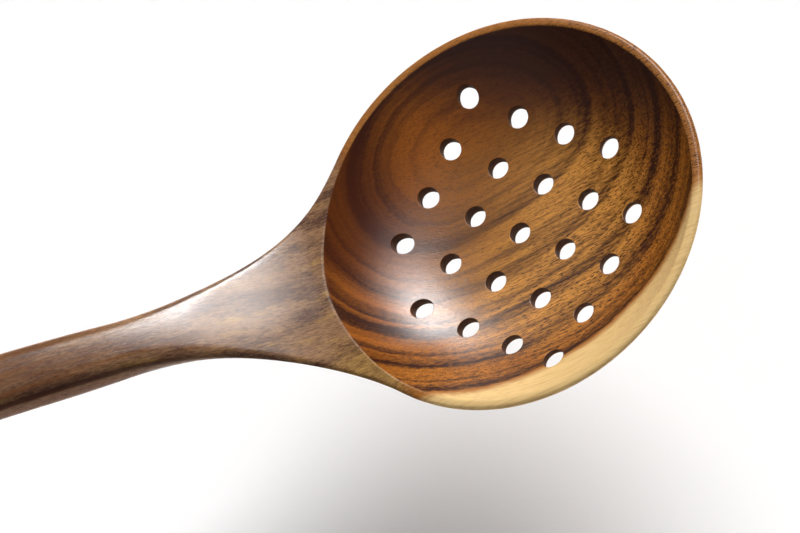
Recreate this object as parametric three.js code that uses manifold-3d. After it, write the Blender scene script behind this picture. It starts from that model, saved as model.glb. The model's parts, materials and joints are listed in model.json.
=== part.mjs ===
// Wooden skimmer: a shallow round bowl drilled for draining, on a bowed handle, carved from one piece of wood.
// Millimetres, +Z up. The body is shaped with the rim level and the bowl's centre at zero, +X towards the tip.
// It is then laid down as it comes to rest on a table, on the underside of the bowl and the end of the handle.
import * as THREE from 'three';
import { mergeVertices } from 'three/addons/utils/BufferGeometryUtils.js';
import Module from 'manifold-3d';

// Bowl
const BOWL_DIAMETER = 93.4;
const BOWL_DEPTH = 14;
const RIM_WIDTH = 2.05;
const RIM_EDGE_ROUND = 0.9;
const FLOOR_THICKNESS = 3.7;
const HOLLOW_FLATNESS = 3.5;
const HOLLOW_CENTRE_TO_TIP = 2.7;
const UNDERSIDE_FLATNESS = 3;

// Drain holes: a square grid turned 45 degrees to the handle, without its two corners on the handle's line
const HOLE_DIAMETER = 5;
const HOLE_PITCH = 12.5;
const HOLES_PER_SIDE = 5;
const GRID_CENTRE_TO_HANDLE = 1.7;

// Neck and handle, with reaches measured from the bowl's edge and heights from the rim
const NECK_FLARE_RADIUS = 76;
const NECK_WIDTH = 12.5;
const RISE_STARTS_INSIDE_EDGE = 6;
const NECK_REACH = 28.3;
const NECK_HEIGHT = 14.4;
const NECK_SLOPE = 0.46;
const GRIP_REACH = 67.3;
const GRIP_HEIGHT = 29.6;
const GRIP_SLOPE = 0.32;
const HANDLE_REACH = 216;
const HANDLE_END_HEIGHT = 66;
const HANDLE_END_SLOPE = 0.18;
const HANDLE_END_WIDTH = 18;
const HANDLE_CROWN = 0.7;
const HANDLE_EDGE_ROUND = 2.4;
const DEEPENS_FROM_REACH = 6;
const DEEPENS_TO_REACH = 62;
const NECK_BELOW_EDGE = 4.6;
const HANDLE_BELOW_EDGE = 10;
const HANDLE_END_BELOW_EDGE = 5.6;
const NECK_UNDERSIDE_FLATNESS = 1.8;
const HANDLE_UNDERSIDE_FLATNESS = 3;
const KEEL_FULL_OUTSIDE_EDGE = 12;
const KEEL_FADES_INSIDE_EDGE = 28;
const KEEL_BLEND = 3;

// Hanging hole through the end of the handle
const HANG_HOLE_DIAMETER = 8;
const HANG_HOLE_FROM_END = 13;

// How finely the curved surfaces are divided
const BOWL_STEPS = 28;
const FLARE_STEPS = 16;
const GRIP_STEPS = 14;
const END_STEPS = 6;
const HOLLOW_SIDES = 72;
const HOLE_SIDES = 20;
const TOP_FRACTIONS = [0.4, 0.75, 0.92, 0.98, 0.995];
const UNDERSIDE_STEPS = 8;
const HOLLOW_FRACTIONS = [0.3, 0.5, 0.65, 0.76, 0.85, 0.92, 1, 1.06];
const WELD = 0.002;
const SAME_POINT = 1e-5;

// How the resting lean is searched for
const STEEPEST_LEAN = Math.PI / 4;
const LEAN_HALVINGS = 40;

const wasm = await Module();
wasm.setup();

const bowlRadius = BOWL_DIAMETER / 2;
const hollowRadius = bowlRadius - RIM_WIDTH;
const neckHalf = NECK_WIDTH / 2;
const endHalf = HANDLE_END_WIDTH / 2;
const endX = -(bowlRadius + HANDLE_REACH);
const endRoundX = endX + endHalf;
const neckX = -(bowlRadius + NECK_REACH);

// In plan the neck runs into the bowl by an arc tangent to the rim and to the side of the handle
const flareY = neckHalf + NECK_FLARE_RADIUS;
const flareX = -Math.sqrt((bowlRadius + NECK_FLARE_RADIUS) ** 2 - flareY ** 2);
const tangentX = (flareX * bowlRadius) / (bowlRadius + NECK_FLARE_RADIUS);

function ramp(from, to, x) {
  const t = Math.min(1, Math.max(0, (x - from) / (to - from)));
  return t * t * (3 - 2 * t);
}

// The line of the top in side view: level over the bowl, then up through the neck and easing along the handle
const profile = [
  { x: -(bowlRadius - RISE_STARTS_INSIDE_EDGE), z: 0, slope: 0 },
  { x: neckX, z: NECK_HEIGHT, slope: NECK_SLOPE },
  { x: -(bowlRadius + GRIP_REACH), z: GRIP_HEIGHT, slope: GRIP_SLOPE },
  { x: endX, z: HANDLE_END_HEIGHT, slope: HANDLE_END_SLOPE },
];

function topHeight(x) {
  if (x >= profile[0].x) return 0;
  const k = profile.findIndex((point, i) => i > 0 && x >= point.x);
  const to = profile[k < 0 ? profile.length - 1 : k];
  const from = profile[profile.indexOf(to) - 1];
  const run = from.x - to.x;
  const t = (from.x - x) / run;
  const rise = from.z + (to.z - from.z) * t * t * (3 - 2 * t);
  return rise + run * t * (1 - t) * (from.slope * (1 - t) - to.slope * t);
}

// Half the width in plan of the handle before its end is rounded
function handleHalf(x) {
  const along = Math.min(1, Math.max(0, (flareX - x) / (flareX - endRoundX)));
  return neckHalf + (endHalf - neckHalf) * along;
}

function planHalf(x) {
  if (x >= tangentX) return Math.sqrt(Math.max(0, bowlRadius ** 2 - x ** 2));
  if (x >= flareX) return flareY - Math.sqrt(NECK_FLARE_RADIUS ** 2 - (x - flareX) ** 2);
  if (x >= endRoundX) return handleHalf(x);
  return Math.sqrt(Math.max(0, endHalf ** 2 - (x - endRoundX) ** 2));
}

// Distance in plan from a point of the body to its outline
function insetFromOutline(x, y) {
  if (x < endRoundX) return Math.max(0, endHalf - Math.hypot(x - endRoundX, y));
  if (x < flareX) return Math.max(0, handleHalf(x) - Math.abs(y));
  const facesNeck = x < 0 && Math.abs(y) * -flareX < flareY * -x;
  if (!facesNeck) return Math.max(0, bowlRadius - Math.hypot(x, y));
  return Math.max(0, Math.hypot(x - flareX, flareY - Math.abs(y)) - NECK_FLARE_RADIUS);
}

// Share of the way out to a circle round the bowl's centre, seen from a point moved towards the tip
function dishShare(x, y, shift, radius) {
  const reach = Math.hypot(x - shift, y);
  if (reach === 0) return 0;
  return reach / dishReach((x - shift) / reach, y / reach, shift, radius);
}

function dishReach(cos, sin, shift, radius) {
  return Math.sqrt(radius ** 2 - (shift * sin) ** 2) - shift * cos;
}

function edgeRound(x) {
  return RIM_EDGE_ROUND + (HANDLE_EDGE_ROUND - RIM_EDGE_ROUND) * ramp(tangentX, flareX, x);
}

function topSurface(x, y) {
  const round = edgeRound(x);
  const inset = insetFromOutline(x, y);
  const over = Math.max(0, 1 - inset / round);
  const half = Math.max(planHalf(x), Number.EPSILON);
  const crown = HANDLE_CROWN * ramp(tangentX, flareX, x) * (1 - Math.min(1, Math.abs(y) / half) ** 2);
  const fallsIn = Math.min(1, inset / round);
  return topHeight(x) + crown * fallsIn - round * (1 - Math.sqrt(1 - over * over));
}

function underside(x, y) {
  const bowlDrop = BOWL_DEPTH + FLOOR_THICKNESS - RIM_EDGE_ROUND;
  const share = Math.min(1, dishShare(x, y, 0, bowlRadius));
  const dish = x < -bowlRadius ? 0 : bowlDrop * (1 - share ** UNDERSIDE_FLATNESS);
  const half = x < endRoundX ? endHalf : x < flareX ? handleHalf(x) : planHalf(x);
  const across = half > 0 ? Math.min(1, Math.max(0, 1 - insetFromOutline(x, y) / half)) : 1;
  const gripShare = ramp(-(bowlRadius + DEEPENS_FROM_REACH), -(bowlRadius + DEEPENS_TO_REACH), x);
  const grip = NECK_BELOW_EDGE + (HANDLE_BELOW_EDGE - NECK_BELOW_EDGE) * gripShare;
  const deep = grip + (HANDLE_END_BELOW_EDGE - HANDLE_BELOW_EDGE) * ramp(flareX, endX, x);
  const fade = ramp(-(bowlRadius - KEEL_FADES_INSIDE_EDGE), -(bowlRadius + KEEL_FULL_OUTSIDE_EDGE), x);
  const flatness = NECK_UNDERSIDE_FLATNESS + (HANDLE_UNDERSIDE_FLATNESS - NECK_UNDERSIDE_FLATNESS) * gripShare;
  const round = (1 - across ** flatness) ** (1 / flatness);
  const keel = deep * fade * round;
  const drop = (dish ** KEEL_BLEND + keel ** KEEL_BLEND) ** (1 / KEEL_BLEND);
  return topHeight(x) - edgeRound(x) - drop;
}

// A closed skin over rings of equally many points, drawn to a point at each end
function loft(firstPole, rings, lastPole) {
  const sides = rings[0].length;
  const positions = [firstPole, ...rings.flat(), lastPole].flat();
  const triangles = [];
  const last = 1 + rings.length * sides;
  for (let s = 0; s < sides; s++) {
    const n = (s + 1) % sides;
    triangles.push(0, 1 + n, 1 + s);
    for (let r = 0; r + 1 < rings.length; r++) {
      const a = 1 + r * sides;
      const b = a + sides;
      triangles.push(a + s, a + n, b + s, a + n, b + n, b + s);
    }
    triangles.push(last - sides + s, last - sides + n, last);
  }
  const geometry = new THREE.BufferGeometry();
  geometry.setAttribute('position', new THREE.Float32BufferAttribute(positions, 3));
  geometry.setIndex(triangles);
  return geometry;
}

function solidFrom(geometry) {
  const bare = geometry.clone();
  bare.deleteAttribute('normal');
  bare.deleteAttribute('uv');
  const merged = mergeVertices(bare, SAME_POINT);
  const mesh = new wasm.Mesh({
    numProp: 3,
    vertProperties: new Float32Array(merged.attributes.position.array),
    triVerts: new Uint32Array(merged.index.array),
  });
  return new wasm.Manifold(mesh);
}

// Stations along the length, close together where the outline turns
function stations() {
  const list = [];
  const turn = Math.acos(tangentX / bowlRadius);
  for (let i = 1; i <= BOWL_STEPS; i++) list.push(bowlRadius * Math.cos((turn * i) / BOWL_STEPS));
  for (let i = 1; i <= FLARE_STEPS; i++) list.push(tangentX + ((flareX - tangentX) * i) / FLARE_STEPS);
  for (let i = 1; i <= GRIP_STEPS; i++) list.push(flareX + ((endRoundX - flareX) * i) / GRIP_STEPS);
  for (let i = 1; i < END_STEPS; i++) {
    list.push(endRoundX - endHalf * Math.sin((Math.PI / 2) * (i / END_STEPS)));
  }
  return list;
}

// One section across the body: over the top from one side to the other, and back underneath
function section(x) {
  const half = planHalf(x);
  const over = [...TOP_FRACTIONS.map((f) => -f).reverse(), 0, ...TOP_FRACTIONS];
  const ring = [[x, -half, topHeight(x) - edgeRound(x)]];
  for (const f of over) ring.push([x, f * half, topSurface(x, f * half)]);
  for (let i = 0; i < 2 * UNDERSIDE_STEPS; i++) {
    const y = half * Math.cos((Math.PI * i) / (2 * UNDERSIDE_STEPS));
    ring.push([x, y, underside(x, y)]);
  }
  return ring;
}

function carvedBlank() {
  const tip = [bowlRadius, 0, -RIM_EDGE_ROUND];
  const butt = [endX, 0, topHeight(endX) - HANDLE_EDGE_ROUND];
  return solidFrom(loft(tip, stations().map(section), butt));
}

// The hollow: rings of a dish whose lowest point lies towards the tip, carried on up past the rim
function hollow() {
  const depthAt = (share) => -BOWL_DEPTH * (1 - share ** HOLLOW_FLATNESS);
  const ring = (share) =>
    Array.from({ length: HOLLOW_SIDES }, (_, i) => {
      const angle = (2 * Math.PI * i) / HOLLOW_SIDES;
      const reach = share * dishReach(Math.cos(angle), Math.sin(angle), HOLLOW_CENTRE_TO_TIP, hollowRadius);
      const x = HOLLOW_CENTRE_TO_TIP + reach * Math.cos(angle);
      return [x, reach * Math.sin(angle), depthAt(share)];
    });
  const brim = depthAt(HOLLOW_FRACTIONS.at(-1));
  const rings = HOLLOW_FRACTIONS.map(ring);
  return solidFrom(loft([HOLLOW_CENTRE_TO_TIP, 0, -BOWL_DEPTH], rings, [0, 0, brim]));
}

function drill(diameter, length, x, y, z, lean) {
  const bit = new THREE.CylinderGeometry(diameter / 2, diameter / 2, length, HOLE_SIDES);
  bit.rotateX(Math.PI / 2);
  bit.rotateY(lean);
  bit.translate(x, y, z);
  return solidFrom(bit);
}

function drainHoles() {
  const diagonal = HOLE_PITCH / Math.SQRT2;
  const length = 2 * (BOWL_DEPTH + FLOOR_THICKNESS) + HOLE_DIAMETER;
  const holes = [];
  for (let row = 0; row < HOLES_PER_SIDE; row++) {
    for (let column = 0; column < HOLES_PER_SIDE; column++) {
      const onLineCorner = Math.abs(row - column) === HOLES_PER_SIDE - 1;
      if (onLineCorner) continue;
      const x = (column - row) * diagonal - GRID_CENTRE_TO_HANDLE;
      const y = (HOLES_PER_SIDE - 1 - column - row) * diagonal;
      holes.push(drill(HOLE_DIAMETER, length, x, y, -BOWL_DEPTH, 0));
    }
  }
  return holes;
}

function hangHole() {
  const x = endX + HANG_HOLE_FROM_END;
  const thick = HANDLE_CROWN + HANDLE_EDGE_ROUND + HANDLE_BELOW_EDGE;
  return drill(HANG_HOLE_DIAMETER, 3 * thick, x, 0, topHeight(x) - thick / 2, Math.atan(HANDLE_END_SLOPE));
}

// The cut solid as a geometry, with points that all but coincide welded and the slivers between them left out
function geometryFrom(solid) {
  const mesh = solid.getMesh();
  const raw = new THREE.BufferGeometry();
  raw.setAttribute('position', new THREE.BufferAttribute(new Float32Array(mesh.vertProperties), 3));
  raw.setIndex(new THREE.BufferAttribute(new Uint32Array(mesh.triVerts), 1));
  const geometry = mergeVertices(raw, WELD);
  const corners = Array.from(geometry.index.array);
  const whole = [];
  for (let i = 0; i < corners.length; i += 3) {
    const triangle = corners.slice(i, i + 3);
    if (new Set(triangle).size === 3) whole.push(...triangle);
  }
  geometry.setIndex(whole);
  geometry.computeVertexNormals();
  return geometry;
}

// The lean at which the underside of the bowl and the handle's end touch one level table
function restLean(geometry) {
  const place = geometry.attributes.position;
  const gripX = -(bowlRadius + GRIP_REACH);
  const lowest = (lean, ofHandle) => {
    let low = Infinity;
    for (let i = 0; i < place.count; i++) {
      if (place.getX(i) < gripX !== ofHandle) continue;
      low = Math.min(low, place.getZ(i) * Math.cos(lean) + place.getX(i) * Math.sin(lean));
    }
    return low;
  };
  let flat = 0;
  let steep = STEEPEST_LEAN;
  for (let i = 0; i < LEAN_HALVINGS; i++) {
    const lean = (flat + steep) / 2;
    if (lowest(lean, false) < lowest(lean, true)) flat = lean;
    else steep = lean;
  }
  return flat;
}

const wood = new THREE.MeshStandardMaterial({ color: '#7d4d24', roughness: 0.42, metalness: 0 });

let carved = carvedBlank().subtract(hollow()).subtract(hangHole());
for (const hole of drainHoles()) carved = carved.subtract(hole);

const skimmerBody = new THREE.Mesh(geometryFrom(carved), wood);
skimmerBody.name = 'skimmer_body';
skimmerBody.rotation.y = -restLean(skimmerBody.geometry);

const skimmer = new THREE.Group();
skimmer.add(skimmerBody);
skimmer.updateMatrixWorld(true);
const box = new THREE.Box3().setFromObject(skimmer, true);
skimmer.position.set(-(box.min.x + box.max.x) / 2, -(box.min.y + box.max.y) / 2, -box.min.z);

export default skimmer;
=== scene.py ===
import json
import math

import bpy
import numpy as np
from mathutils import Matrix, Vector
from mathutils.geometry import delaunay_2d_cdt


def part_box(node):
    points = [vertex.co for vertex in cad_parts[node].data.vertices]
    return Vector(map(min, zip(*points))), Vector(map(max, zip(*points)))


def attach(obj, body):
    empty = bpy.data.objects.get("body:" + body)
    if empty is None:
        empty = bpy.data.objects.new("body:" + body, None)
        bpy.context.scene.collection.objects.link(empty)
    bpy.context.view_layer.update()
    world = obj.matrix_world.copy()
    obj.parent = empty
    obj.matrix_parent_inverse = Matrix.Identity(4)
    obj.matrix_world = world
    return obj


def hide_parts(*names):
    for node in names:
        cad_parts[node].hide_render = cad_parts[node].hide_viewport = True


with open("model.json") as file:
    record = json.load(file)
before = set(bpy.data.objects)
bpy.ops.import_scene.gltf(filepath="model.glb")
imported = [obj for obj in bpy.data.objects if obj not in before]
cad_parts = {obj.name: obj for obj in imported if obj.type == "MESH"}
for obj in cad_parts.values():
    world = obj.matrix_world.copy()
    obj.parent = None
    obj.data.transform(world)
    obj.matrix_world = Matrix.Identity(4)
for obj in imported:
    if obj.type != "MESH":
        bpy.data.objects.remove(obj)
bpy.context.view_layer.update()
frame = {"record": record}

# Metres in a millimetre
MM = 0.001

# Sizes of the skimmer in millimetres, in the bowl's own frame:
# the rim is level, the bowl's centre is at zero and +X runs to the tip
BOWL_DIAMETER = 93.4
BOWL_DEPTH = 14
RIM_WIDTH = 2.05
RIM_EDGE_ROUND = 0.9
FLOOR_THICKNESS = 3.7
HOLLOW_FLATNESS = 3.5
HOLLOW_CENTRE_TO_TIP = 2.7
UNDERSIDE_FLATNESS = 3
HOLE_DIAMETER = 5
HOLE_PITCH = 12.5
HOLES_PER_SIDE = 5
GRID_CENTRE_TO_HANDLE = 1.7
NECK_FLARE_RADIUS = 76
NECK_WIDTH = 12.5
RISE_STARTS_INSIDE_EDGE = 6
NECK_REACH = 28.3
NECK_HEIGHT = 14.4
NECK_SLOPE = 0.46
GRIP_REACH = 67.3
GRIP_HEIGHT = 29.6
GRIP_SLOPE = 0.32
HANDLE_REACH = 216
HANDLE_END_HEIGHT = 66
HANDLE_END_SLOPE = 0.18
HANDLE_END_WIDTH = 18
HANDLE_CROWN = 0.7
HANDLE_EDGE_ROUND = 2.4
DEEPENS_FROM_REACH = 6
DEEPENS_TO_REACH = 62
NECK_BELOW_EDGE = 4.6
HANDLE_BELOW_EDGE = 10
HANDLE_END_BELOW_EDGE = 5.6
NECK_UNDERSIDE_FLATNESS = 1.8
HANDLE_UNDERSIDE_FLATNESS = 3
KEEL_FULL_OUTSIDE_EDGE = 12
KEEL_FADES_INSIDE_EDGE = 28
KEEL_BLEND = 3
HANG_HOLE_DIAMETER = 8
HANG_HOLE_FROM_END = 13

# The hollow's surface is carried on past its edge to this share of its reach
HOLLOW_CARRIED_ON = 2

# Small easings that sanding leaves on the edges, millimetres
HOLLOW_EDGE_EASE = 0.45
HOLE_EDGE_EASE = 0.12
HOLE_UNDERSIDE_EASE = 0.75
HOLE_UNDERSIDE_EASE_RUN = 0.022
HOLE_UNDERSIDE_EASE_LEAST = 0.12
HOLE_UNDERSIDE_EASE_MOST = 1.2
HANG_HOLE_EDGE_EASE = 0.8

# How finely the skin is divided, millimetres unless it is a count
OUTLINE_STEP = 0.8
CREASE_POINTS = 400
CREASE_OFFSETS = (-1.6, -1.0, -0.6, -0.35, -0.18, -0.06, 0.06, 0.18, 0.35, 0.6)
HOLE_POINTS = 48
HOLE_RING_GAPS = (0.12, 0.35, 0.9)
EDGE_ANGLES = (0, 15, 30, 45, 60, 75, 90)
FILL_STEP = 1.1
FILL_CLEARANCE = 0.45
ON_OUTLINE_WITHIN = 0.08
TINY = 1e-6

# The search for the hollow's edge, as shares of the hollow's reach, and its steps
CREASE_SEARCH = (0.9, 1.2)
CREASE_SEARCH_STEPS = 40

# The kind of result that the triangulation gives: triangles over the convex hull
HULL_TRIANGLES = 0

# Camera in the bowl's frame, millimetres and degrees
CAMERA_FROM = (120.51, -245.23, 420.78)
CAMERA_TO = (-25.07, -5.16, 5.0)
CAMERA_ROLL = -52.59
CAMERA_LENS = 101.47
CAMERA_SENSOR = 36

bowl_radius = BOWL_DIAMETER / 2
hollow_radius = bowl_radius - RIM_WIDTH
neck_half = NECK_WIDTH / 2
end_half = HANDLE_END_WIDTH / 2
end_x = -(bowl_radius + HANDLE_REACH)
end_round_x = end_x + end_half
flare_y = neck_half + NECK_FLARE_RADIUS
flare_x = -math.sqrt((bowl_radius + NECK_FLARE_RADIUS) ** 2 - flare_y**2)
tangent_x = flare_x * bowl_radius / (bowl_radius + NECK_FLARE_RADIUS)


def ramp(start, end, x):
    t = np.clip((x - start) / (end - start), 0, 1)
    return t * t * (3 - 2 * t)


PROFILE = (
    (-(bowl_radius - RISE_STARTS_INSIDE_EDGE), 0, 0),
    (-(bowl_radius + NECK_REACH), NECK_HEIGHT, NECK_SLOPE),
    (-(bowl_radius + GRIP_REACH), GRIP_HEIGHT, GRIP_SLOPE),
    (end_x, HANDLE_END_HEIGHT, HANDLE_END_SLOPE),
)


def top_height(x):
    """The line of the top in side view."""
    height = np.zeros_like(x)
    for (x0, z0, slope0), (x1, z1, slope1) in zip(PROFILE, PROFILE[1:]):
        run = x0 - x1
        t = np.clip((x0 - x) / run, 0, 1)
        rise = z0 + (z1 - z0) * t * t * (3 - 2 * t)
        curve = rise + run * t * (1 - t) * (slope0 * (1 - t) - slope1 * t)
        height = np.where(x < x0, curve, height)
    return height


def handle_half(x):
    along = np.clip((flare_x - x) / (flare_x - end_round_x), 0, 1)
    return neck_half + (end_half - neck_half) * along


def plan_half(x):
    """Half the width of the outline in plan."""
    bowl = np.sqrt(np.maximum(0, bowl_radius**2 - x**2))
    flare = flare_y - np.sqrt(np.maximum(0, NECK_FLARE_RADIUS**2 - (x - flare_x) ** 2))
    butt = np.sqrt(np.maximum(0, end_half**2 - (x - end_round_x) ** 2))
    return np.select([x >= tangent_x, x >= flare_x, x >= end_round_x], [bowl, flare, handle_half(x)], butt)


def inset(x, y):
    """Distance in plan from the outline, positive inside."""
    side = np.abs(y)
    butt = end_half - np.hypot(x - end_round_x, y)
    grip = handle_half(x) - side
    flare = np.hypot(x - flare_x, flare_y - side) - NECK_FLARE_RADIUS
    bowl = bowl_radius - np.hypot(x, y)
    faces_neck = (x < 0) & (side * -flare_x < flare_y * -x)
    return np.select([x < end_round_x, x < flare_x, faces_neck], [butt, grip, flare], bowl)


def dish_reach(cos, sin, shift, radius):
    return np.sqrt(radius**2 - (shift * sin) ** 2) - shift * cos


def dish_share(x, y, shift, radius):
    """Share of the way out to a circle round the bowl's centre, seen from a point moved towards the tip."""
    reach = np.maximum(np.hypot(x - shift, y), TINY)
    return reach / dish_reach((x - shift) / reach, y / reach, shift, radius)


def edge_round(x):
    return RIM_EDGE_ROUND + (HANDLE_EDGE_ROUND - RIM_EDGE_ROUND) * ramp(tangent_x, flare_x, x)


def blank_top(x, y):
    """The top before the hollow is cut."""
    rounding = edge_round(x)
    inside = np.clip(inset(x, y) / rounding, 0, 1)
    half = np.maximum(plan_half(x), TINY)
    across = np.minimum(1, np.abs(y) / half)
    crown = HANDLE_CROWN * ramp(tangent_x, flare_x, x) * (1 - across**2)
    return top_height(x) + crown * inside - rounding * (1 - np.sqrt(1 - (1 - inside) ** 2))


def hollow_floor(x, y):
    share = np.minimum(dish_share(x, y, HOLLOW_CENTRE_TO_TIP, hollow_radius), HOLLOW_CARRIED_ON)
    return -BOWL_DEPTH * (1 - share**HOLLOW_FLATNESS)


def eased_lower(a, b, width):
    """The lower of two surfaces, with the edge between them eased."""
    near = np.maximum(width - np.abs(a - b), 0) / width
    return np.minimum(a, b) - near * near * width / 4


def underside(x, y):
    drop_at_centre = BOWL_DEPTH + FLOOR_THICKNESS - RIM_EDGE_ROUND
    share = np.minimum(1, dish_share(x, y, 0, bowl_radius))
    dish = np.where(x < -bowl_radius, 0, drop_at_centre * (1 - share**UNDERSIDE_FLATNESS))
    butt_half = np.full_like(x, end_half)
    half = np.select([x < end_round_x, x < flare_x], [butt_half, handle_half(x)], plan_half(x))
    across = np.clip(1 - inset(x, y) / np.maximum(half, TINY), 0, 1)
    grip_share = ramp(-(bowl_radius + DEEPENS_FROM_REACH), -(bowl_radius + DEEPENS_TO_REACH), x)
    grip = NECK_BELOW_EDGE + (HANDLE_BELOW_EDGE - NECK_BELOW_EDGE) * grip_share
    deep = grip + (HANDLE_END_BELOW_EDGE - HANDLE_BELOW_EDGE) * ramp(flare_x, end_x, x)
    fade = ramp(-(bowl_radius - KEEL_FADES_INSIDE_EDGE), -(bowl_radius + KEEL_FULL_OUTSIDE_EDGE), x)
    flatness = NECK_UNDERSIDE_FLATNESS + (HANDLE_UNDERSIDE_FLATNESS - NECK_UNDERSIDE_FLATNESS) * grip_share
    keel = deep * fade * (1 - across**flatness) ** (1 / flatness)
    drop = (dish**KEEL_BLEND + keel**KEEL_BLEND) ** (1 / KEEL_BLEND)
    return top_height(x) - edge_round(x) - drop


def drain_hole_places():
    diagonal = HOLE_PITCH / math.sqrt(2)
    corner = HOLES_PER_SIDE - 1
    return [
        ((column - row) * diagonal - GRID_CENTRE_TO_HANDLE, (corner - column - row) * diagonal)
        for row in range(HOLES_PER_SIDE)
        for column in range(HOLES_PER_SIDE)
        if abs(row - column) != corner
    ]


def underside_ease(x):
    """The edges of the holes are eased more towards the tip underneath."""
    ease = HOLE_UNDERSIDE_EASE + HOLE_UNDERSIDE_EASE_RUN * x
    return min(max(ease, HOLE_UNDERSIDE_EASE_LEAST), HOLE_UNDERSIDE_EASE_MOST)


# Every hole as its place, its radius and the easing of its edges above and below
hang_hole_x = end_x + HANG_HOLE_FROM_END
HOLES = [(x, y, HOLE_DIAMETER / 2, HOLE_EDGE_EASE, underside_ease(x)) for x, y in drain_hole_places()]
HOLES.append((hang_hole_x, 0, HANG_HOLE_DIAMETER / 2, HANG_HOLE_EDGE_EASE, HANG_HOLE_EDGE_EASE))


def hole_easing(x, y, underneath):
    """How far the sanded edges of the holes lie from the surface round them."""
    fall = np.zeros_like(x)
    for cx, cy, radius, ease_above, ease_below in HOLES:
        ease = ease_below if underneath else ease_above
        over = np.clip(1 - (np.hypot(x - cx, y - cy) - radius) / ease, 0, 1)
        fall = np.maximum(fall, ease * (1 - np.sqrt(1 - over * over)))
    return fall


def hang_hole_lean(x, y, z):
    """The hanging hole runs square to the handle, so its two mouths move apart along the handle."""
    thick = HANDLE_CROWN + HANDLE_EDGE_ROUND + HANDLE_BELOW_EDGE
    middle = top_height(np.array([float(hang_hole_x)]))[0] - thick / 2
    radius = HANG_HOLE_DIAMETER / 2
    near = 1 - ramp(radius + HANG_HOLE_EDGE_EASE, end_half - OUTLINE_STEP, np.hypot(x - hang_hole_x, y))
    return near * (z - middle) * HANDLE_END_SLOPE


def outline_side():
    """One side of the outline from the tip to the handle's end, with the inward direction at each point."""
    turn = math.acos(tangent_x / bowl_radius)
    into_bowl = math.atan2(-flare_y, -flare_x)
    arcs = (
        (0, 0, bowl_radius, 0, turn, -1),
        (flare_x, flare_y, NECK_FLARE_RADIUS, into_bowl, -math.pi / 2, 1),
        (end_round_x, 0, end_half, math.pi / 2, math.pi, -1),
    )
    points, inward = [], []
    for cx, cy, radius, first, last, sign in arcs:
        count = math.ceil(abs(last - first) * radius / OUTLINE_STEP)
        angles = np.linspace(first, last, count + 1)
        normal = np.stack([np.cos(angles), np.sin(angles)], -1)
        points.append(np.array([cx, cy]) + radius * normal)
        inward.append(sign * normal)
    count = math.ceil((flare_x - end_round_x) / OUTLINE_STEP)
    x = np.linspace(flare_x, end_round_x, count + 1)
    points.insert(2, np.stack([x, handle_half(x)], -1)[1:-1])
    inward.insert(2, np.tile([0.0, -1.0], (count - 1, 1)))
    points[1], inward[1] = points[1][1:], inward[1][1:]
    return np.concatenate(points), np.concatenate(inward)


def outline_loops():
    """The outline and the rings of its rounded edge."""
    side, inward = outline_side()
    mirror = np.array([1, -1])
    points = np.concatenate([side, side[-2:0:-1] * mirror])
    inward = np.concatenate([inward, inward[-2:0:-1] * mirror])
    depth = edge_round(points[:, 0])[:, None]
    return [points + inward * depth * (1 - math.cos(math.radians(a))) for a in EDGE_ANGLES]


def crease_reach(cos, sin):
    """Where the hollow meets the top, outwards from the hollow's deepest point."""
    reach = dish_reach(cos, sin, HOLLOW_CENTRE_TO_TIP, hollow_radius)
    low, high = (reach * share for share in CREASE_SEARCH)
    for _ in range(CREASE_SEARCH_STEPS):
        middle = (low + high) / 2
        x, y = HOLLOW_CENTRE_TO_TIP + middle * cos, middle * sin
        below = hollow_floor(x, y) < blank_top(x, y)
        low, high = np.where(below, middle, low), np.where(below, high, middle)
    return low


def crease_loops():
    angles = np.linspace(0, 2 * math.pi, CREASE_POINTS, endpoint=False)
    cos, sin = np.cos(angles), np.sin(angles)
    reach = crease_reach(cos, sin)
    rings = (reach + gap for gap in CREASE_OFFSETS)
    return [np.stack([HOLLOW_CENTRE_TO_TIP + ring * cos, ring * sin], -1) for ring in rings]


def hole_loops():
    angles = np.linspace(0, 2 * math.pi, HOLE_POINTS, endpoint=False)
    ring = np.stack([np.cos(angles), np.sin(angles)], -1)
    loops = []
    for cx, cy, radius, ease, _ in HOLES:
        gaps = [ease * (1 - math.cos(math.radians(a))) for a in EDGE_ANGLES]
        gaps += [ease + gap for gap in HOLE_RING_GAPS]
        loops += [np.array([cx, cy]) + (radius + gap) * ring for gap in gaps]
    return loops


def fill_points():
    """An even spread of points in the faces between the rings."""
    rows = np.arange(-bowl_radius, bowl_radius, FILL_STEP * math.sqrt(3) / 2)
    columns = np.arange(end_x, bowl_radius, FILL_STEP)
    x, y = np.meshgrid(columns, rows)
    x = x + np.where(np.arange(len(rows)) % 2, FILL_STEP / 2, 0)[:, None]
    x, y = x.ravel(), y.ravel()
    keep = inset(x, y) > edge_round(x) + FILL_CLEARANCE
    from_dish = np.hypot(x - HOLLOW_CENTRE_TO_TIP, y)
    cos, sin = (x - HOLLOW_CENTRE_TO_TIP) / from_dish, y / from_dish
    from_crease = from_dish - crease_reach(cos, sin)
    low, high = CREASE_OFFSETS[0] - FILL_CLEARANCE, CREASE_OFFSETS[-1] + FILL_CLEARANCE
    keep &= (from_crease < low) | (from_crease > high)
    for cx, cy, radius, ease, _ in HOLES:
        keep &= np.hypot(x - cx, y - cy) > radius + ease + HOLE_RING_GAPS[-1] + FILL_CLEARANCE
    return np.stack([x[keep], y[keep]], -1)


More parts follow.
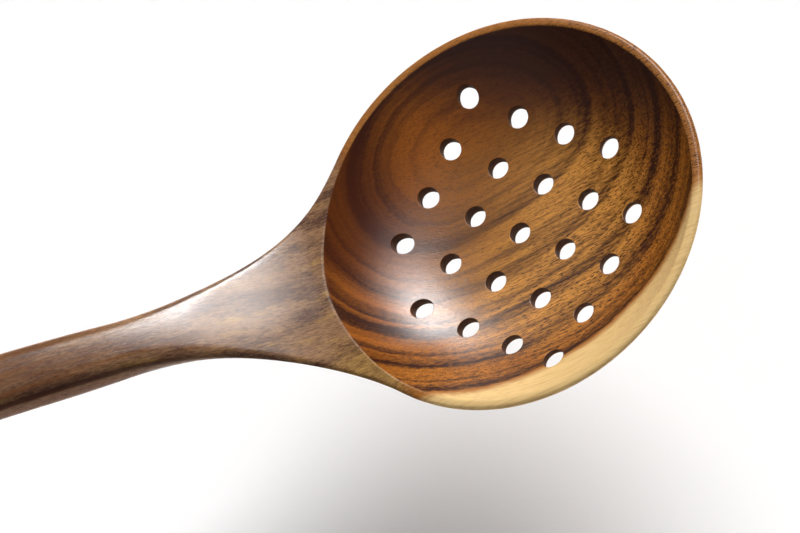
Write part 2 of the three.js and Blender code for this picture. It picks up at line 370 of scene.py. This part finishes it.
def plan_mesh():
    """Triangles over the plan of the skimmer, following the rings of every edge."""
    loops = outline_loops() + crease_loops() + hole_loops()
    points, edges, start = [], [], 0
    for loop in loops:
        count = len(loop)
        edges += [(start + i, start + (i + 1) % count) for i in range(count)]
        points.append(loop)
        start += count
    points.append(fill_points())
    spread = [Vector(p) for p in np.concatenate(points)]
    found, _, faces, *_ = delaunay_2d_cdt(spread, edges, [], HULL_TRIANGLES, TINY)
    flat = np.array([tuple(v) for v in found])
    triangles = np.array(faces)
    centre = flat[triangles].mean(1)
    keep = inset(centre[:, 0], centre[:, 1]) > 0
    for cx, cy, radius, *_ in HOLES:
        keep &= np.hypot(centre[:, 0] - cx, centre[:, 1] - cy) > radius * math.cos(math.pi / HOLE_POINTS)
    triangles = triangles[keep]
    a, b, c = (flat[triangles[:, i]] for i in range(3))
    clockwise = np.cross(b - a, c - a) < 0
    triangles[clockwise] = triangles[clockwise][:, ::-1]
    used, index = np.unique(triangles, return_inverse=True)
    return flat[used], index.reshape(-1, 3)


def rim_edges(triangles):
    """The edges that have a triangle on one side only, in the triangle's own direction."""
    edges = np.concatenate([triangles[:, [0, 1]], triangles[:, [1, 2]], triangles[:, [2, 0]]])
    seen = {tuple(e) for e in edges.tolist()}
    return np.array([e for e in edges.tolist() if (e[1], e[0]) not in seen])


def skin():
    """Points, in the bowl's frame, and faces of the whole skimmer."""
    flat, triangles = plan_mesh()
    x, y = flat[:, 0], flat[:, 1]
    top = eased_lower(blank_top(x, y), hollow_floor(x, y), HOLLOW_EDGE_EASE)
    top -= hole_easing(x, y, underneath=False)
    bottom = underside(x, y) + hole_easing(x, y, underneath=True)
    edges = rim_edges(triangles)
    rim = np.zeros(len(flat), bool)
    rim[edges.ravel()] = True
    on_outline = rim & (inset(x, y) < ON_OUTLINE_WITHIN)
    top[on_outline] = bottom[on_outline] = (top_height(x) - edge_round(x))[on_outline]
    upper = np.stack([x + hang_hole_lean(x, y, top), y, top], -1)
    lower = np.stack([x + hang_hole_lean(x, y, bottom), y, bottom], -1)
    below = np.where(on_outline, np.arange(len(flat)), 0)
    below[~on_outline] = len(flat) + np.arange((~on_outline).sum())
    points = np.concatenate([upper, lower[~on_outline]])
    faces = triangles.tolist() + below[triangles][:, ::-1].tolist()
    hole_edges = edges[~on_outline[edges].all(1)].tolist()
    walls = [(b, a, int(below[a]), int(below[b])) for a, b in hole_edges]
    return points, faces, walls


# The bowl's frame in the part, from the flat land of the rim
rim_face = frame["record"]["mounts"][0]
rim_normal = Vector(rim_face["axis"]).normalized()
rim_place = Vector(rim_face["pos_m"])
across_axis = Vector((0, 1, 0))
along_axis = across_axis.cross(rim_normal)
bowl_to_part = Matrix((along_axis, across_axis, rim_normal)).transposed().to_4x4()
bowl_to_part.translation = (rim_place.x, 0, rim_place.z)


def make_skin():
    points, faces, walls = skin()
    low, high = (np.array(c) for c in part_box("skimmer_body"))
    turn = np.array(bowl_to_part.to_3x3())
    place = np.array(bowl_to_part.translation)
    part = points * MM @ turn.T + place
    found_low, found_high = part.min(0), part.max(0)
    part = low + (part - found_low) * (high - low) / (found_high - found_low)
    mesh = bpy.data.meshes.new("skimmer_skin")
    mesh.from_pydata(part.tolist(), [], faces + walls)
    mesh.polygons.foreach_set("use_smooth", np.ones(len(mesh.polygons), bool))
    mesh.polygons.foreach_set("material_index", np.repeat([0, 1], [len(faces), len(walls)]))
    mesh.update()
    piece = bpy.data.objects.new("skimmer_skin", mesh)
    bpy.context.scene.collection.objects.link(piece)
    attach(piece, "root")
    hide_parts("skimmer_body")
    return piece


skimmer = make_skin()


# The sockets of a mix of two colours
MIX_SOCKETS = ("Factor_Float", "A_Color", "B_Color")
MIX_RESULT = "Result_Color"


class Graph:
    """Short calls for wiring a material's nodes."""

    def __init__(self, tree):
        self.tree = tree
        tree.nodes.clear()

    def node(self, kind, inputs=None, **settings):
        made = self.tree.nodes.new(kind)
        for name, value in settings.items():
            setattr(made, name, value)
        for name, value in (inputs or {}).items():
            self.feed(made.inputs[name], value)
        return made

    def feed(self, socket, value):
        if isinstance(value, bpy.types.NodeSocket):
            self.tree.links.new(value, socket)
        else:
            socket.default_value = value

    def math(self, operation, *values, clamp=False):
        made = self.node("ShaderNodeMath", operation=operation, use_clamp=clamp)
        for socket, value in zip(made.inputs, values):
            self.feed(socket, value)
        return made.outputs[0]

    def times(self, value, *others):
        for other in others:
            value = self.math("MULTIPLY", value, other)
        return value

    def scaled(self, value, factor, offset):
        return self.math("MULTIPLY_ADD", value, factor, offset)

    def length(self, a, b):
        return self.math("SQRT", self.math("ADD", self.times(a, a), self.times(b, b)))

    def vector(self, x, y, z):
        return self.node("ShaderNodeCombineXYZ", {"X": x, "Y": y, "Z": z}).outputs[0]

    def noise(self, vector, detail, roughness=0.5, scale=1):
        inputs = {"Vector": vector, "Scale": scale, "Detail": detail, "Roughness": roughness}
        return self.node("ShaderNodeTexNoise", inputs).outputs["Fac"]

    def span(self, value, low, high, to_low=0, to_high=1):
        """A smooth change from to_low, where the value is low, to to_high, where it is high."""
        inputs = {"Value": value, "From Min": low, "From Max": high, "To Min": to_low, "To Max": to_high}
        return self.node("ShaderNodeMapRange", inputs, interpolation_type="SMOOTHSTEP").outputs[0]

    def mix(self, share, a, b):
        made = self.node("ShaderNodeMix", data_type="RGBA")
        factor, first, second = (s for s in made.inputs if s.identifier in MIX_SOCKETS)
        for socket, value in ((factor, share), (first, a), (second, b)):
            self.feed(socket, value)
        return next(s for s in made.outputs if s.identifier == MIX_RESULT)

    def stops(self, value, stops):
        made = self.node("ShaderNodeValToRGB", {"Fac": value})
        marks = made.color_ramp.elements
        while len(marks) < len(stops):
            marks.new(0)
        for mark, (place, grey) in zip(marks, stops):
            mark.position = place
            mark.color = (grey, grey, grey, 1)
        return made.outputs["Color"]

    def surface(self, colour, roughness, gloss, bump, height):
        relief = {"Strength": bump, "Distance": BUMP_DEPTH, "Height": height}
        normal = self.node("ShaderNodeBump", relief).outputs[0]
        look = {"Base Color": colour, "Roughness": roughness, "Specular IOR Level": gloss, "Normal": normal}
        shader = self.node("ShaderNodeBsdfPrincipled", look)
        self.node("ShaderNodeOutputMaterial", {"Surface": shader.outputs[0]})


# Tones of the wood, linear
# Golden wood of the floor, lightened in part as painted sheen
FLOOR_GOLD_AND_SHEEN = (0.64, 0.275, 0.050, 1)
FLOOR_RED = (0.26, 0.090, 0.011, 1)
WALL_BROWN = (0.33, 0.096, 0.010, 1)
WALL_GOLD = (0.46, 0.158, 0.020, 1)
NECK_LIGHT = (0.32, 0.175, 0.090, 1)
NECK_DARK = (0.095, 0.046, 0.031, 1)
NECK_OLIVE = (0.46, 0.26, 0.080, 1)
GRIP_WARM = (0.20, 0.076, 0.024, 1)
RIM_TAN = (0.43, 0.17, 0.040, 1)
RIM_BROWN = (0.16, 0.055, 0.015, 1)
# painted bounce light from the floor on the handle's lower near side
SIDE_BOUNCE_BROWN = (0.36, 0.20, 0.120, 1)
# painted highlight along the far top edge of the handle
EDGE_HIGHLIGHT_ORANGE = (0.52, 0.22, 0.060, 1)
LATE_DARK = (0.035, 0.009, 0.003, 1)
# painted shade on the far wall and along the handle's near edge, partly darker wood
SHADE_AND_DARK_WOOD = (0.045, 0.016, 0.013, 1)
# darker red towards the top of the wall on the handle's side
UPPER_WALL_DARK_RED = (0.060, 0.014, 0.006, 1)
PORE_DARK = (0.045, 0.015, 0.006, 1)
SAP_TONE = (0.80, 0.55, 0.24, 1)
SAP_EDGE = (0.36, 0.13, 0.025, 1)
# painted shade inside the holes
BORE_SHADE_DARK = (0.030, 0.011, 0.005, 1)
BORE_SHADE_BROWN = (0.13, 0.050, 0.018, 1)

# Growth rings of the log, in the bowl's frame in millimetres:
# the pith runs along the handle, below the bowl and to one side of it
PITH_Y = 43.3
PITH_Z = -57.5
PITH_Y_RUN = 0.12
PITH_Z_RUN = -0.096
PITH_ARCH = -0.004
PITH_ARCH_REACH = 45
RING_STEP = 8.75
RING_SWAY = 2.4
RING_RIPPLE = 0.9
SAP_RADIUS = 93.2
EYE_RADIUS = 51
LIFT_STOPS = 24

# Darkness of the wood through one growth ring, from its start to its end
LATE_WOOD = (
    (0, 0.85),
    (0.06, 0.15),
    (0.22, 0),
    (0.44, 0.3),
    (0.54, 0.6),
    (0.6, 0.2),
    (0.74, 0.6),
    (0.9, 1),
    (1, 0.85),
)

# Grains: noise drawn out along the handle, with its pace per millimetre along it and across it
SWAY_GRAIN = dict(along=0.03, across=0.06, detail=1)
RIPPLE_GRAIN = dict(along=0.1, across=0.5, detail=2)
FIBRE_GRAIN = dict(along=0.05, across=1.6, detail=4, roughness=0.6)
OLIVE_GRAIN = dict(along=0.06, across=0.4, shift=4.1, detail=4)
FLECK_GRAIN = dict(along=0.5, across=2.2, shift=7.3, detail=6, roughness=0.8)
CLOUD_GRAIN = dict(along=0.05, across=0.2, shift=1.9, detail=3)
WARM_GRAIN = dict(along=0.025, across=0.8, shift=11.3, detail=3)
PORE_GRAIN = dict(along=0.75, across=4, detail=2)
RAGGED_GRAIN = dict(along=0.12, across=1.8, detail=3)
SAP_GRAIN = dict(along=0.1, across=1.9, detail=4, roughness=0.6)

# Noise along the rings: its pace per millimetre of radius, and along the handle
RING_RUN = 0.012
FINE_PACE = 0.75
FINE_NOISE = dict(detail=4, roughness=0.65)
UNEVEN_PACE = 0.16
UNEVEN_SHIFT = 3.7
UNEVEN_NOISE = dict(detail=0)

# In each span below, a value goes from the first number to the second while a share goes from 0 to 1,
# or from the third number to the fourth. Names that end in X, Y or Z are places in the bowl's frame,
# those that end in LIE are heights over the handle's top line and UNDER is the depth under the hollow,
# all in millimetres

# Regions of the skimmer
OUTSIDE_UNDER = (0.02, 0.1)
WALL_Z = (-13.7, -8.8)
NECK_X = (-30, -36)
LAND_Z = (-1.7, -0.8)
RIM_X = (-37, -30)
GRIP_X = (-62, -84)
SHOULDER_X = (-56, -42)
SHOULDER_Y = (-10, -22)
UPPER_WALL_X = (-14, -34)
UPPER_WALL_Y = (-8, 12)
LOWER_WALL_X = (-18, -30)
LOWER_WALL_Y = (-15.5, -20.5)
SAP_X = (-62, -38)

# Dark bands of the rings in the hollow
FINE_LINES = (0.38, 0.62)
FINE_LINES_SHARE = 0.45
UNEVEN_BANDS = (0.3, 0.7, 0.75, 1)
BANDS_ON_FLOOR = 0.65
BANDS_MORE_ON_WALL = 0.35
BANDS_TO_TIP_X = (12, 36, 1, 0.75)
BANDS_TO_SAP_Y = (-12, -30, 1, 0.72)
BANDS_LIGHTEN = -0.08
FIBRE_STREAKS = (0.3, 0.7, -0.2, 0.42)
FIBRE_STREAKS_IN_RED = 0.4
FIBRE_STREAKS_MORE_IN_GOLD = 0.6

# Golden floor, its golden side partly painted sheen, and the darker far and upper walls. A lean is how much
# one axis counts beside the other
GOLDEN_LEAN = -1.1
GOLDEN = (-30, 10)
FAR_LEAN = 0.7
# The far wall is darkened partly as painted shade, partly as darker wood
FAR_WALL_SHADE = (20, 46, 0, 0.88)
# How much darker red the wall on the handle's side gets towards its top
UPPER_WALL_DARKENING = 0.78

# Neck and handle
OLIVE = (0.52, 0.72, 0, 0.8)
NECK_FLECKS = (0.37, 0.63, 0, 0.85)
NECK_CLOUDS = (0.35, 0.65, -0.35, 0.5)
SHOULDER_CLEARS = -0.4
HANDLE_DARKENS_X = (-82, -112, 0, 0.5)
WARM_STREAKS = (0.5, 0.62, 0, 0.5)
# Painted shade along the handle's near edge, where it turns away from the light
NEAR_SHADE_FROM_LIE = (-0.7, -1.4)
NEAR_SHADE_TO_LIE = (-3.6, -2.2)
NEAR_SHADE_Y = (-2, -4)
NEAR_SHADE_SHARE = 0.75
# Painted bounce light from the floor on the handle's lower near side
LOW_SIDE_LIE = (-2.4, -4.2)
LOW_SIDE_Y = (0, -3)
LOW_SIDE_FLECKS = (0.35, 0.65, 0.85, 0.35)
# Painted highlight along the handle's far top edge
FAR_EDGE_FROM_LIE = (-0.2, -0.6)
FAR_EDGE_TO_LIE = (-2.4, -1.3)
FAR_EDGE_Y = (3, 5)
FAR_EDGE_FLECKS = (0.65, 0.4, 0.15, 0.75)

# Rim, pores and sapwood
RIM_END_GRAIN_X = (5, 40, 0.45, 0.75)
RIM_FLECKS = (0.4, 0.62)
PORES = (0.52, 0.63)
OPEN_PORES = (-20, 30, 0.4, 1)
SAP_RAGGED = 2
SAP_REDDENS = (-0.3, 0.5)
SAP_PALES = (0.1, 3)
SAP_STREAKS = (0.42, 0.72, 0, 0.32)

# Sheen and relief
GRIP_GLOSS_RISES_X = (-98, -62, 0.02, 0.13)
GRIP_GLOSS_FALLS_X = (-64, -50, 0.13, 0.02)
GRIP_GLOSS_Y = (-9, 0, 0.35, 1)
RIM_GLOSS_HANDLE_X = (-40, -34, 0, 0.03)
RIM_GLOSS_TIP_X = (5, 28, 0, 0.045)
HOLLOW_GLOSS_RISES_X = (-42, -30, 0.03, 0.11)
HOLLOW_GLOSS_FALLS_X = (8, 30, 0.11, 0.03)
HOLLOW_GLOSS_Y = (4, -12, 1, 1.15)
UPPER_WALL_GLOSS_LOSS = -0.6
LOWER_WALL_GLOSS_LOSS = -0.6
WOOD_ROUGHNESS = 0.25
FIBRE_ROUGHNESS = 0.1
NECK_ROUGHNESS_LOSS = -0.11
BUMP_DEPTH = 0.0001
WOOD_BUMP = 0.14
FIBRE_RELIEF = 0.5

# The walls of the holes
BORE_NOISE = dict(detail=3, scale=900)
BORE_BUMP = 0.3
BORE_ROUGHNESS = 0.7
BORE_GLOSS = 0.12


class Wood(Graph):
    """A graph that knows where a place lies in the bowl's frame, in millimetres, and what grows there."""

    def __init__(self, tree):
        super().__init__(tree)
        to_bowl = {
            "Vector": self.node("ShaderNodeTexCoord").outputs["Object"],
            "Location": bowl_to_part.translation,
            "Rotation": bowl_to_part.to_euler(),
            "Scale": (MM, MM, MM),
        }
        in_bowl = self.node("ShaderNodeMapping", to_bowl, vector_type="TEXTURE").outputs[0]
        self.x, self.y, self.z = self.node("ShaderNodeSeparateXYZ", {0: in_bowl}).outputs
        self.lie = self.height_over_handle_line()
        self.ring = self.distance_from_pith()
        self.past_heartwood = self.math("SUBTRACT", self.ring, SAP_RADIUS)
        self.fibre = self.grain(**FIBRE_GRAIN)
        self.fleck = self.grain(**FLECK_GRAIN)
        self.pores = self.span(self.grain(**PORE_GRAIN), *PORES)
        self.outside = self.span(self.depth_under_hollow(), *OUTSIDE_UNDER)
        self.on_neck = self.times(self.outside, self.span(self.x, *NECK_X))
        self.on_upper_wall = self.times(self.span(self.y, *UPPER_WALL_Y), self.span(self.x, *UPPER_WALL_X))

    def height_over_handle_line(self):
        """The grain follows the rise of the neck and the bow of the handle."""
        shares = np.linspace(0, 1, LIFT_STOPS)
        heights = top_height(end_x * (1 - shares)) / HANDLE_END_HEIGHT
        along_share = self.scaled(self.x, -1 / end_x, 1)
        lift = self.stops(along_share, list(zip(shares.tolist(), heights.tolist())))
        return self.scaled(lift, -HANDLE_END_HEIGHT, self.z)

    def grain(self, along, across, detail, shift=0, roughness=0.5):
        run = self.scaled(self.x, along, shift)
        place = self.vector(run, self.times(self.y, across), self.times(self.lie, across))
        return self.noise(place, detail, roughness)

    def distance_from_pith(self):
        """The radius of the ring at a place, swaying a little as wood grows."""
        bow = self.math("MINIMUM", self.times(self.x, self.x), PITH_ARCH_REACH**2)
        pith_y = self.scaled(self.x, PITH_Y_RUN, PITH_Y)
        pith_z = self.scaled(bow, PITH_ARCH, self.scaled(self.x, PITH_Z_RUN, PITH_Z))
        radius = self.length(self.math("SUBTRACT", self.y, pith_y), self.math("SUBTRACT", self.lie, pith_z))
        sway = self.scaled(self.grain(**SWAY_GRAIN), RING_SWAY, -RING_SWAY / 2)
        ripple = self.scaled(self.grain(**RIPPLE_GRAIN), RING_RIPPLE, -RING_RIPPLE / 2)
        return self.math("ADD", radius, self.math("ADD", sway, ripple))

    def depth_under_hollow(self):
        """How far a place lies under the surface of the hollow carried on past its edge."""
        dish_x = self.math("SUBTRACT", self.x, HOLLOW_CENTRE_TO_TIP)
        out = self.length(dish_x, self.y)
        sine = self.times(self.math("DIVIDE", self.y, out), HOLLOW_CENTRE_TO_TIP)
        root = self.math("SQRT", self.math("SUBTRACT", hollow_radius**2, self.times(sine, sine)))
        reach = self.scaled(self.math("DIVIDE", dish_x, out), -HOLLOW_CENTRE_TO_TIP, root)
        bent = self.math("POWER", self.math("DIVIDE", out, reach), HOLLOW_FLATNESS)
        return self.math("SUBTRACT", self.scaled(bent, BOWL_DEPTH, -BOWL_DEPTH), self.z)

    def ring_bands(self):
        """Dark late wood at the end of each growth ring, with finer lines between."""
        grown = self.math("MAXIMUM", self.past_heartwood, EYE_RADIUS - SAP_RADIUS)
        late = self.stops(self.math("FRACT", self.math("DIVIDE", grown, RING_STEP)), LATE_WOOD)
        run = self.times(self.x, RING_RUN)
        fine_place = self.vector(self.times(self.ring, FINE_PACE), run, 0)
        fine = self.span(self.noise(fine_place, **FINE_NOISE), *FINE_LINES)
        uneven_place = self.vector(self.times(self.ring, UNEVEN_PACE), run, UNEVEN_SHIFT)
        uneven = self.span(self.noise(uneven_place, **UNEVEN_NOISE), *UNEVEN_BANDS)
        return self.math("ADD", self.times(late, uneven), self.times(fine, FINE_LINES_SHARE))

    def hollow_tone(self):
        """The floor of the hollow shows golden, its golden side partly painted sheen of the broad
        highlight, and its wall redder.
        """
        up_wall = self.span(self.z, *WALL_Z)
        # the golden side is partly painted sheen of the broad highlight
        golden = self.span(self.scaled(self.y, GOLDEN_LEAN, self.x), *GOLDEN)
        strength = self.times(
            self.scaled(up_wall, BANDS_MORE_ON_WALL, BANDS_ON_FLOOR),
            self.span(self.x, *BANDS_TO_TIP_X),
            self.span(self.y, *BANDS_TO_SAP_Y),
        )
        streak_share = self.scaled(golden, FIBRE_STREAKS_MORE_IN_GOLD, FIBRE_STREAKS_IN_RED)
        streaks = self.times(self.span(self.fibre, *FIBRE_STREAKS), streak_share)
        bands = self.scaled(self.ring_bands(), strength, BANDS_LIGHTEN)
        dark = self.math("ADD", streaks, bands, clamp=True)
        floor = self.mix(golden, FLOOR_RED, FLOOR_GOLD_AND_SHEEN)
        wall = self.mix(golden, WALL_BROWN, WALL_GOLD)
        tone = self.mix(dark, self.mix(up_wall, floor, wall), LATE_DARK)
        # painted shade on the far wall, partly darker wood
        far = self.span(self.scaled(self.x, FAR_LEAN, self.y), *FAR_WALL_SHADE)
        tone = self.mix(far, tone, SHADE_AND_DARK_WOOD)
        return self.mix(self.times(self.on_upper_wall, UPPER_WALL_DARKENING), tone, UPPER_WALL_DARK_RED)

    def neck_tone(self):
        """The neck and handle are cut across many rings and show long streaks of several tones."""
        shoulder = self.times(self.span(self.x, *SHOULDER_X), self.span(self.y, *SHOULDER_Y))
        olive = self.math("MAXIMUM", self.span(self.grain(**OLIVE_GRAIN), *OLIVE), shoulder)
        clouds = self.span(self.grain(**CLOUD_GRAIN), *NECK_CLOUDS)
        dark = self.math("ADD", self.span(self.fleck, *NECK_FLECKS), clouds, clamp=True)
        dark = self.times(dark, self.scaled(shoulder, SHOULDER_CLEARS, 1))
        tone = self.mix(dark, self.mix(olive, NECK_LIGHT, NECK_OLIVE), NECK_DARK)
        return self.mix(self.span(self.x, *HANDLE_DARKENS_X), tone, NECK_DARK)

    def with_grip_streaks_and_painted_light(self, tone):
        """Warm streaks along the handle, with painted shade along its near edge, painted bounce light on
        its lower near side and a painted highlight along its far top edge.
        """
        on_grip = self.span(self.x, *GRIP_X)
        warm = self.span(self.grain(**WARM_GRAIN), *WARM_STREAKS)
        tone = self.mix(self.times(warm, on_grip), tone, GRIP_WARM)
        # painted shade along the near edge
        near_edge_shade = self.times(
            self.span(self.lie, *NEAR_SHADE_FROM_LIE),
            self.span(self.lie, *NEAR_SHADE_TO_LIE),
            self.span(self.y, *NEAR_SHADE_Y),
            on_grip,
            NEAR_SHADE_SHARE,
        )
        tone = self.mix(near_edge_shade, tone, SHADE_AND_DARK_WOOD)
        # painted bounce light on the lower near side
        low_side_bounce = self.times(
            self.span(self.lie, *LOW_SIDE_LIE),
            self.span(self.y, *LOW_SIDE_Y),
            on_grip,
            self.span(self.fleck, *LOW_SIDE_FLECKS),
        )
        tone = self.mix(low_side_bounce, tone, SIDE_BOUNCE_BROWN)
        # painted highlight along the far top edge
        far_edge_highlight = self.times(
            self.span(self.lie, *FAR_EDGE_FROM_LIE),
            self.span(self.lie, *FAR_EDGE_TO_LIE),
            self.span(self.y, *FAR_EDGE_Y),
            on_grip,
            self.span(self.fleck, *FAR_EDGE_FLECKS),
        )
        return self.mix(far_edge_highlight, tone, EDGE_HIGHLIGHT_ORANGE)

    def with_rim(self, tone):
        on_land = self.times(self.outside, self.span(self.z, *LAND_Z))
        on_rim = self.times(on_land, self.span(self.x, *RIM_X))
        brown = self.times(self.span(self.fleck, *RIM_FLECKS), self.span(self.x, *RIM_END_GRAIN_X))
        return self.mix(on_rim, tone, self.mix(brown, RIM_TAN, RIM_BROWN))

    def with_pores(self, tone):
        """Open pores, drawn out along the grain."""
        open_share = self.span(self.math("SUBTRACT", self.x, self.y), *OPEN_PORES)
        return self.mix(self.times(self.pores, open_share), tone, PORE_DARK)

    def with_sapwood(self, tone):
        """Pale sapwood beyond the last ring, with a reddish edge."""
        even = self.math("SUBTRACT", self.past_heartwood, SAP_RAGGED / 2)
        ragged = self.scaled(self.grain(**RAGGED_GRAIN), SAP_RAGGED, even)
        near_bowl = self.span(self.x, *SAP_X)
        edge = self.times(self.span(ragged, *SAP_REDDENS), near_bowl)
        sap = self.times(self.span(ragged, *SAP_PALES), near_bowl)
        pale = self.mix(self.span(self.grain(**SAP_GRAIN), *SAP_STREAKS), SAP_TONE, SAP_EDGE)
        return self.mix(sap, self.mix(edge, tone, SAP_EDGE), pale)

    def colour(self):
        neck = self.with_grip_streaks_and_painted_light(self.neck_tone())
        tone = self.mix(self.on_neck, self.hollow_tone(), neck)
        return self.with_sapwood(self.with_pores(self.with_rim(tone)))

    def roughness(self):
        fibres = self.scaled(self.fibre, FIBRE_ROUGHNESS, WOOD_ROUGHNESS)
        return self.scaled(self.on_neck, NECK_ROUGHNESS_LOSS, fibres)

    def gloss(self):
        """The gloss changes along the wood, which keeps the highlights where the photograph has them."""
        grip_rises = self.span(self.x, *GRIP_GLOSS_RISES_X)
        grip_falls = self.span(self.x, *GRIP_GLOSS_FALLS_X)
        grip = self.times(self.math("MINIMUM", grip_rises, grip_falls), self.span(self.y, *GRIP_GLOSS_Y))
        rim_at_handle = self.span(self.x, *RIM_GLOSS_HANDLE_X)
        rim = self.math("MAXIMUM", rim_at_handle, self.span(self.x, *RIM_GLOSS_TIP_X))
        outer = self.math("MAXIMUM", grip, rim)
        hollow_rises = self.span(self.x, *HOLLOW_GLOSS_RISES_X)
        hollow_falls = self.span(self.x, *HOLLOW_GLOSS_FALLS_X)
        on_lower_wall = self.times(self.span(self.y, *LOWER_WALL_Y), self.span(self.x, *LOWER_WALL_X))
        inner = self.times(
            self.math("MINIMUM", hollow_rises, hollow_falls),
            self.scaled(self.on_upper_wall, UPPER_WALL_GLOSS_LOSS, 1),
            self.span(self.y, *HOLLOW_GLOSS_Y),
            self.scaled(on_lower_wall, LOWER_WALL_GLOSS_LOSS, 1),
        )
        return self.scaled(self.outside, self.math("SUBTRACT", outer, inner), inner)

    def relief(self):
        return self.math("SUBTRACT", self.times(self.fibre, FIBRE_RELIEF), self.pores)


def wood():
    material = bpy.data.materials.new("oiled_wood")
    material.use_nodes = True
    g = Wood(material.node_tree)
    g.surface(g.colour(), g.roughness(), g.gloss(), WOOD_BUMP, g.relief())
    return material


def bore_wood():
    """The cut walls of the holes, darkened as painted shade inside the holes."""
    material = bpy.data.materials.new("oiled_wood_bore")
    material.use_nodes = True
    g = Graph(material.node_tree)
    place = g.node("ShaderNodeTexCoord").outputs["Object"]
    streak = g.noise(place, **BORE_NOISE)
    g.surface(g.mix(streak, BORE_SHADE_DARK, BORE_SHADE_BROWN), BORE_ROUGHNESS, BORE_GLOSS, BORE_BUMP, streak)
    return material


skimmer.data.materials.append(wood())
skimmer.data.materials.append(bore_wood())


# Stage: the skimmer hangs a little above a white sheet, lengths in metres
FLOOR_DROP = 0.062
FLOOR_SIZE = 8
FLOOR_TONE = (0.95, 0.945, 0.95, 1)
FLOOR_GLOW = 0.05
WORLD_TONE = (1, 1, 1, 1)
WORLD_LIGHT = 0.14

# Each lamp with the direction from the bowl to it in the bowl's frame, its strength, its spread in degrees
# and whether it lights surfaces or only shows as sheen on them
LAMPS = (
    ("key", (0.52, 0.56, 0.63), 3.6, 38, True),
    ("sheen", (0.25, 0.68, 0.69), 12.5, 22, False),
    ("neck_sheen", (0.42, 0.48, 0.77), 8.0, 32, False),
)


def seen_ray(g):
    """One for the rays that see the background straight or in a reflection."""
    path = g.node("ShaderNodeLightPath").outputs
    seen = g.math("ADD", path["Is Camera Ray"], path["Is Glossy Ray"])
    return g.math("ADD", seen, path["Is Transmission Ray"], clamp=True)


def make_floor():
    half = FLOOR_SIZE / 2
    mesh = bpy.data.meshes.new("floor")
    corners = [(-half, -half), (half, -half), (half, half), (-half, half)]
    mesh.from_pydata([(x, y, -FLOOR_DROP) for x, y in corners], [], [(0, 1, 2, 3)])
    floor = bpy.data.objects.new("floor", mesh)
    bpy.context.scene.collection.objects.link(floor)
    material = bpy.data.materials.new("white_sheet")
    material.use_nodes = True
    g = Graph(material.node_tree)
    sheet = g.node("ShaderNodeBsdfDiffuse", {"Color": FLOOR_TONE})
    glow = g.node("ShaderNodeEmission", {"Strength": g.times(seen_ray(g), FLOOR_GLOW)})
    both = g.node("ShaderNodeAddShader", {0: sheet.outputs[0], 1: glow.outputs[0]})
    g.node("ShaderNodeOutputMaterial", {"Surface": both.outputs[0]})
    mesh.materials.append(material)


def make_world():
    world = bpy.data.worlds.new("studio")
    bpy.context.scene.world = world
    world.use_nodes = True
    g = Graph(world.node_tree)
    strength = g.scaled(seen_ray(g), 1 - WORLD_LIGHT, WORLD_LIGHT)
    backdrop = g.node("ShaderNodeBackground", {"Color": WORLD_TONE, "Strength": strength})
    g.node("ShaderNodeOutputWorld", {"Surface": backdrop.outputs[0]})


def make_lamp(name, towards, strength, spread, lights_surfaces):
    """A soft lamp far off."""
    lamp = bpy.data.lights.new(name, "SUN")
    lamp.energy = strength
    lamp.angle = math.radians(spread)
    made = bpy.data.objects.new(name, lamp)
    bpy.context.scene.collection.objects.link(made)
    direction = bowl_to_part.to_3x3() @ Vector(towards)
    made.rotation_euler = direction.to_track_quat("Z", "Y").to_euler()
    made.visible_diffuse = lights_surfaces
    made.visible_glossy = not lights_surfaces


def make_camera():
    start, target = Vector(CAMERA_FROM), Vector(CAMERA_TO)
    forward = (target - start).normalized()
    level = forward.cross(Vector((0, 0, 1))).normalized()
    right = Matrix.Rotation(-math.radians(CAMERA_ROLL), 3, forward) @ level
    up = right.cross(forward)
    pose = Matrix((right, up, -forward)).transposed().to_4x4()
    pose.translation = start * MM
    data = bpy.data.cameras.new("camera")
    data.lens = CAMERA_LENS
    data.sensor_width = CAMERA_SENSOR
    camera = bpy.data.objects.new("camera", data)
    bpy.context.scene.collection.objects.link(camera)
    camera.matrix_world = bowl_to_part @ pose
    bpy.context.scene.camera = camera


make_floor()
make_world()
for lamp_values in LAMPS:
    make_lamp(*lamp_values)
make_camera()
bpy.context.scene.view_settings.view_transform = "Standard"
